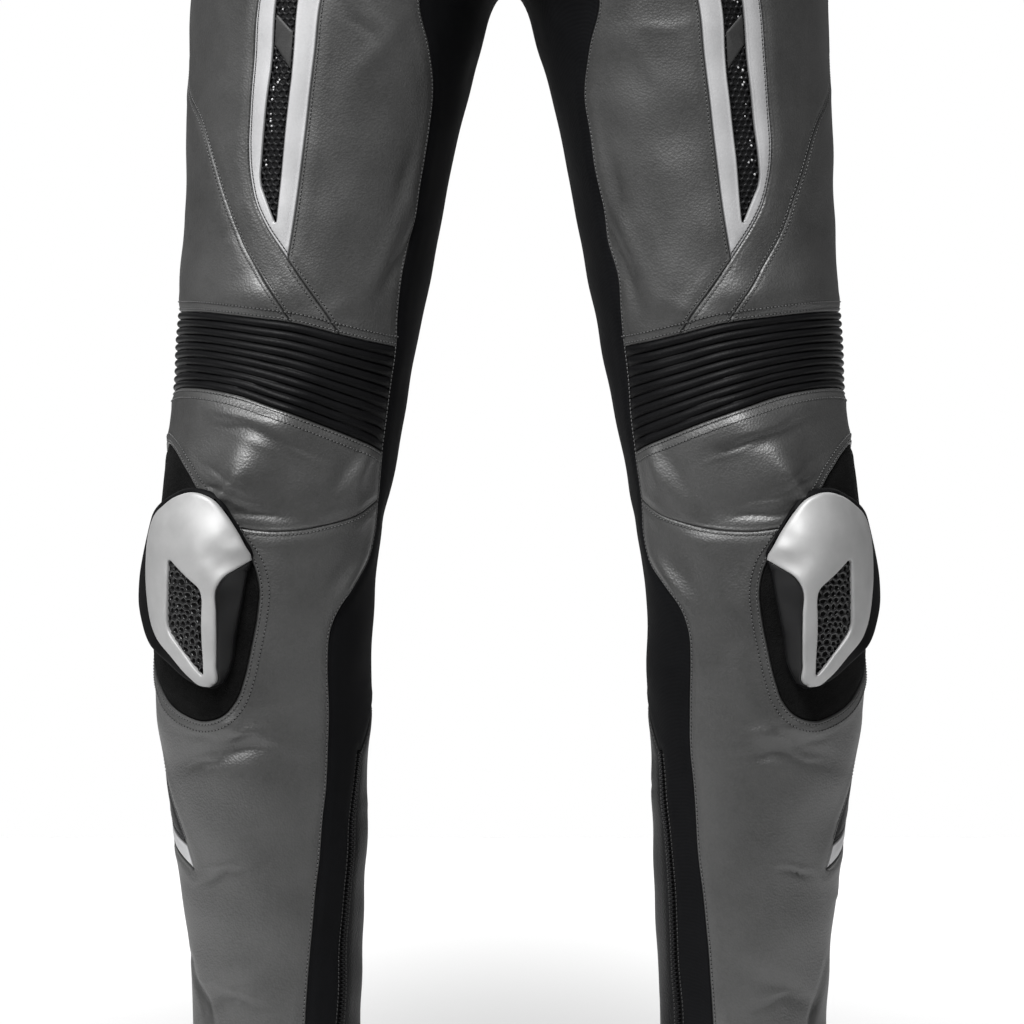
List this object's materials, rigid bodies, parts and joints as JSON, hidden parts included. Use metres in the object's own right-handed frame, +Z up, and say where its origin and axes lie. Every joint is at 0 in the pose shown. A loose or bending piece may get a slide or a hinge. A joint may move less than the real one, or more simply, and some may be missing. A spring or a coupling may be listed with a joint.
{
  "type": "leather motorcycle trousers",
  "caption": "Grey and black leather riding trousers in worn shape, open waist and hems, ribbed stretch panels above the knees, silver stripes and hard outer knee sliders.",
  "frame": {"origin": "middle of the waist opening, at the waistband's top edge, where the wearer's waist holds the trousers up", "axes": "+Z up the body, -Y towards the front, +X towards the wearer's left"},
  "size_m": [0.4948, 0.2732, 1.0545],
  "materials": {
    "grey_leather": "semi-gloss full-grain leather with fine creases",
    "black_leather": "semi-gloss black leather",
    "ribbed_leather": "soft black leather sewn in ribs over elastic",
    "perforated_leather": "black leather with rows of small punched holes",
    "silver_leather": "reflective silver-grey coated leather",
    "stretch_fabric": "dull black stretch twill",
    "pile": "matt black loop pile of the hook-and-loop shield",
    "slider_plastic": "smooth dark moulded plastic",
    "slider_metal": "satin silver shell",
    "slider_mesh": "dark wire mesh",
    "zip_tape": "black woven zip tape with metal teeth",
    "zip_metal": "dark nickel zip metal",
    "snap_metal": "dark nickel snap cap"
  },
  "bodies": {
    "trousers": {"back_knee_l": "stretch_fabric", "back_knee_r": "stretch_fabric", "calf_back_l": "black_leather", "calf_back_r": "black_leather", "calf_strip_l": "silver_leather", "calf_strip_r": "silver_leather", "calf_wedge_l": "black_leather", "calf_wedge_r": "black_leather", "calf_zip_l": "zip_tape", "calf_zip_r": "zip_tape", "fly_slider": "zip_metal", "fly_zip": "zip_tape", "gusset_inner_l": "stretch_fabric", "gusset_inner_r": "stretch_fabric", "knee_upper_l": "grey_leather", "knee_upper_r": "grey_leather", "ribs_l": "ribbed_leather", "ribs_r": "ribbed_leather", "shin_l": "grey_leather", "shin_r": "grey_leather", "slider_base_l": "slider_plastic", "slider_base_r": "slider_plastic", "slider_mesh_l": "slider_mesh", "slider_mesh_r": "slider_mesh", "slider_patch_l": "pile", "slider_patch_r": "pile", "slider_shell_l": "slider_metal", "slider_shell_r": "slider_metal", "slider_side_l": "slider_plastic", "slider_side_r": "slider_plastic", "snap": "snap_metal", "stripe_frame_l": "silver_leather", "stripe_frame_r": "silver_leather", "stripe_inset_l": "perforated_leather", "stripe_inset_r": "perforated_leather", "thigh_back_l": "grey_leather", "thigh_back_r": "grey_leather", "thigh_front_l": "grey_leather", "thigh_front_r": "grey_leather", "thigh_outer_l": "grey_leather", "thigh_outer_r": "grey_leather", "waistband": "grey_leather", "zip_slider_l": "zip_metal", "zip_slider_r": "zip_metal"},
    "fly_pull_tab": {"fly_pull": "zip_metal"},
    "calf_pull_tab_left": {"zip_pull_l": "zip_metal"},
    "calf_pull_tab_right": {"zip_pull_r": "zip_metal"}
  },
  "joints": [
    {"name": "fly_pull_hinge", "type": "hinge", "parent": "trousers", "child": "fly_pull_tab", "pos_m": [0, -0.1212, -0.056], "axis": [-1, 0, 0], "range_deg": [0, 150]},
    {"name": "calf_pull_left_hinge", "type": "hinge", "parent": "trousers", "child": "calf_pull_tab_left", "pos_m": [0.1114, -0.0214, -1.03], "axis": [-0.6756, 0.7373, 0], "range_deg": [0, 150]},
    {"name": "calf_pull_right_hinge", "type": "hinge", "parent": "trousers", "child": "calf_pull_tab_right", "pos_m": [-0.1114, -0.0214, -1.03], "axis": [-0.6756, -0.7373, 0], "range_deg": [0, 150]}
  ]
}
